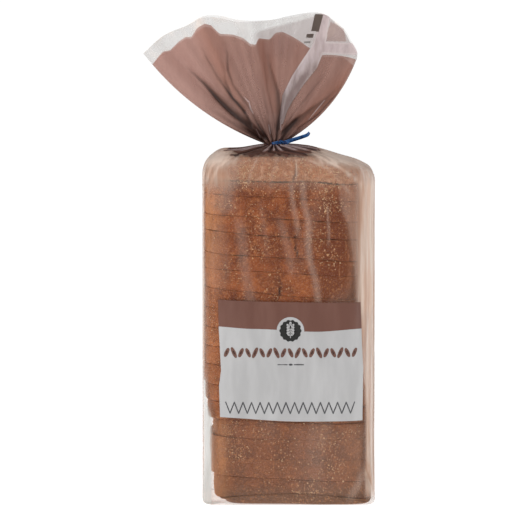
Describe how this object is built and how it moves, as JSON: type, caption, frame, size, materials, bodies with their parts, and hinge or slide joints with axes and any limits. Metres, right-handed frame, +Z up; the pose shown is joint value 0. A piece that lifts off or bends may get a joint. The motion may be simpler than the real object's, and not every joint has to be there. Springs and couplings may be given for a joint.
{
  "type": "bagged sliced bread loaf",
  "caption": "Sliced bread loaf standing on its heel in a clear bag, gathered by a twist tie under a loose fanned-out tail, with a printed label on the front.",
  "frame": {"origin": "centre of the filled bag's flat base, where the loaf stands on its end heel", "axes": "+Z up along the loaf from its base heel to the tie and the tail, -Y towards the front with the label, +X to the right as seen from the front"},
  "size_m": [0.1597, 0.1098, 0.3368],
  "materials": {
    "film_and_bread": "thin clear film over brown crust, with a brown translucent print on the tail",
    "brown_print": "opaque brown print on film",
    "pale_print": "opaque pale grey print on film",
    "dark_print": "opaque near-black print on film",
    "blue_tie": "blue plastic ribbon round a wire"
  },
  "bodies": {
    "root": {"bag": "film_and_bread", "label_band": "brown_print", "label_panel": "pale_print", "label_seal": "dark_print", "twist_tie": "blue_tie"}
  },
  "joints": []
}
